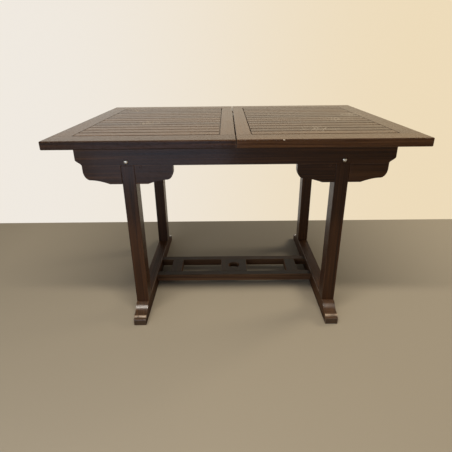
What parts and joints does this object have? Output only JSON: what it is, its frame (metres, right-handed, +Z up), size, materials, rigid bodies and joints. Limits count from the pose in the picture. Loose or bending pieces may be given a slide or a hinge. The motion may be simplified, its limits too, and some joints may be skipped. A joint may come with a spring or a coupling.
{
  "type": "extendable garden table",
  "caption": "Rectangular slatted hardwood garden table on two trestles, with a sliding top in two halves, a stored extension leaf and a parasol hole in its stretcher.",
  "frame": {"origin": "on the floor under the middle of the closed top", "axes": "+X along the table towards its right end, +Y from the front to the rear, +Z up"},
  "size_m": [1.2, 0.9, 0.735],
  "materials": {
    "stained_frame": "dark red-brown stain under a satin varnish",
    "inner_wood": "thinly stained, matt",
    "stained_top": "dark stain, satin, dulled by weather",
    "zinc_steel": "zinc plated",
    "brass": "dull"
  },
  "bodies": {
    "base": {"foot_bar_left": "stained_frame", "foot_bar_right": "stained_frame", "leg_front_left": "stained_frame", "leg_front_right": "stained_frame", "leg_rear_left": "stained_frame", "leg_rear_right": "stained_frame", "apron_front": "stained_frame", "apron_rear": "stained_frame", "bracket_front_left": "stained_frame", "bracket_front_right": "stained_frame", "bracket_rear_left": "stained_frame", "bracket_rear_right": "stained_frame", "stretcher_rail_front": "stained_frame", "stretcher_rail_rear": "stained_frame", "stretcher_hole_board": "stained_frame", "stretcher_cross_left": "stained_frame", "stretcher_cross_right": "stained_frame", "bracket_plugs": "stained_frame", "cross_bearer_left": "inner_wood", "cross_bearer_right": "inner_wood", "slide_ledges": "inner_wood", "slide_guides": "inner_wood", "slide_splines": "inner_wood", "stop_pegs": "inner_wood", "leaf_cleats": "inner_wood", "corner_blocks": "inner_wood", "bracket_dowels": "inner_wood", "frame_screws": "zinc_steel", "frame_bolts": "zinc_steel", "barrel_nuts": "zinc_steel", "button_screws": "brass"},
    "left_half": {"left_batten": "inner_wood", "left_runners": "inner_wood", "left_dowels": "inner_wood", "left_end_rail": "stained_top", "left_side_rail_front": "stained_top", "left_side_rail_rear": "stained_top", "left_mid_rail": "stained_top", "left_slats": "stained_top", "left_screws": "zinc_steel", "hook_pivots": "brass"},
    "right_half": {"right_batten": "inner_wood", "right_runners": "inner_wood", "right_dowels": "inner_wood", "right_end_rail": "stained_top", "right_side_rail_front": "stained_top", "right_side_rail_rear": "stained_top", "right_mid_rail": "stained_top", "right_slats": "stained_top", "right_screws": "zinc_steel", "hook_catches": "brass"},
    "leaf": {"leaf_long_rails": "stained_top", "leaf_end_rails": "stained_top", "leaf_slats": "stained_top", "leaf_hole_board": "stained_top", "leaf_dowels": "inner_wood"},
    "button_left": {"leaf_button_left": "inner_wood"},
    "button_right": {"leaf_button_right": "inner_wood"},
    "hook_front": {"seam_hook_front": "brass"},
    "hook_rear": {"seam_hook_rear": "brass"}
  },
  "joints": [
    {"name": "left_half_slide", "type": "slide", "parent": "base", "child": "left_half", "axis": [-1, 0, 0], "range_m": [0, 0.2015]},
    {"name": "right_half_slide", "type": "slide", "parent": "base", "child": "right_half", "axis": [1, 0, 0], "range_m": [0, 0.2015]},
    {"name": "leaf_slide", "type": "slide", "parent": "base", "child": "leaf", "axis": [1, 0, 0], "range_m": [0, 1.06]},
    {"name": "leaf_button_left_turn", "type": "hinge", "parent": "base", "child": "button_left", "pos_m": [-0.47, 0.228, 0.678], "axis": [0, 0, 1], "range_deg": [0, 90]},
    {"name": "leaf_button_right_turn", "type": "hinge", "parent": "base", "child": "button_right", "pos_m": [0.47, -0.228, 0.678], "axis": [0, 0, 1], "range_deg": [0, 90]},
    {"name": "seam_hook_front_turn", "type": "hinge", "parent": "left_half", "child": "hook_front", "pos_m": [-0.0265, -0.16, 0.7005], "axis": [0, 0, -1], "range_deg": [0, 90]},
    {"name": "seam_hook_rear_turn", "type": "hinge", "parent": "left_half", "child": "hook_rear", "pos_m": [-0.0265, 0.16, 0.7005], "axis": [0, 0, 1], "range_deg": [0, 90]}
  ]
}
